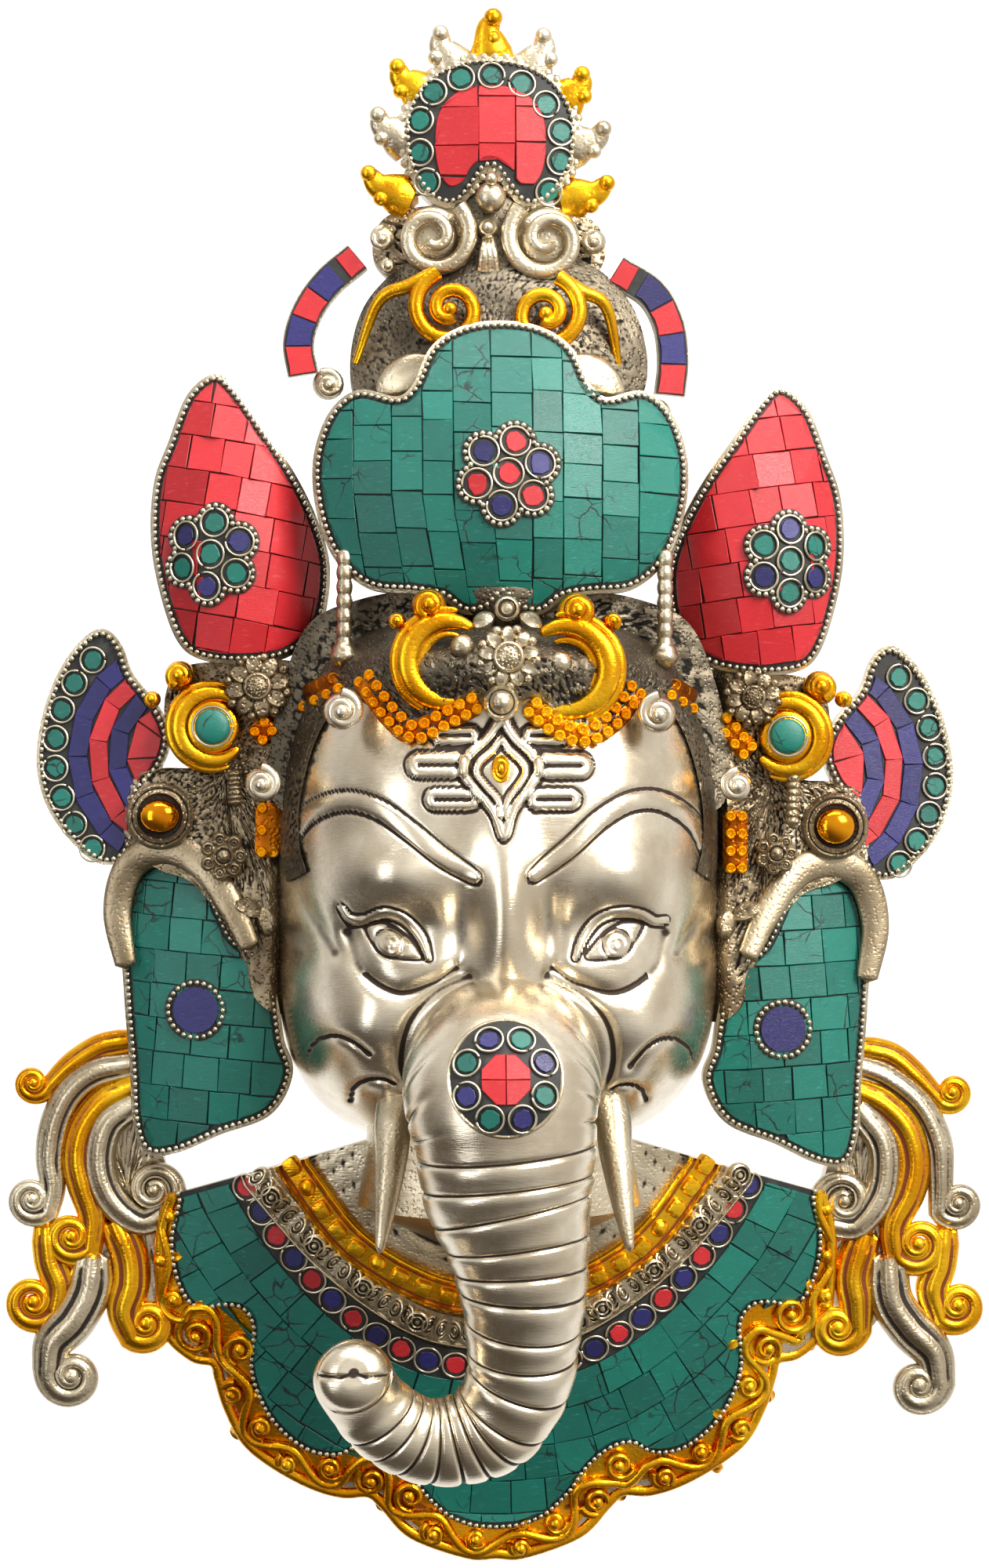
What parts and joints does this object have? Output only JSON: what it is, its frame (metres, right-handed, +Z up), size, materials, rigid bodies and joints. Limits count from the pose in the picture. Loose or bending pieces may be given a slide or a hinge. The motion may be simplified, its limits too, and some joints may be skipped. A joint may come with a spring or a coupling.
{
  "type": "ganesha wall mask",
  "caption": "Wall-hung elephant-headed festival mask: a silvered and gilt cast-metal mask inlaid with turquoise, coral and lapis chips.",
  "frame": {"origin": "middle of the back face of the hanging bar, on the wall plane, about half way up the mask", "axes": "+Z up, -Y out of the wall towards the viewer, +X to the viewer's right"},
  "size_m": [0.3492, 0.1568, 0.5532],
  "materials": {
    "antique_silver": "polished, silvered, with dark patina in the recesses",
    "turquoise": "satin",
    "coral": "satin",
    "lapis": "satin",
    "gilt": "gilt, with orange-brown in the recesses",
    "resin": "matt"
  },
  "bodies": {
    "root": {"mask_body": "antique_silver", "crown_panel_inlay": "turquoise", "crown_leaf_left_inlay": "coral", "crown_leaf_right_inlay": "coral", "fan_left_inlay": "lapis", "fan_right_inlay": "lapis", "ear_left_inlay": "turquoise", "ear_right_inlay": "turquoise", "collar_inlay": "turquoise", "finial_inlay": "coral", "trunk_medallion_inlay": "lapis", "ribbon_left_inlay": "coral", "ribbon_right_inlay": "coral", "crescent_left_stone": "turquoise", "crescent_right_stone": "turquoise"}
  },
  "joints": []
}
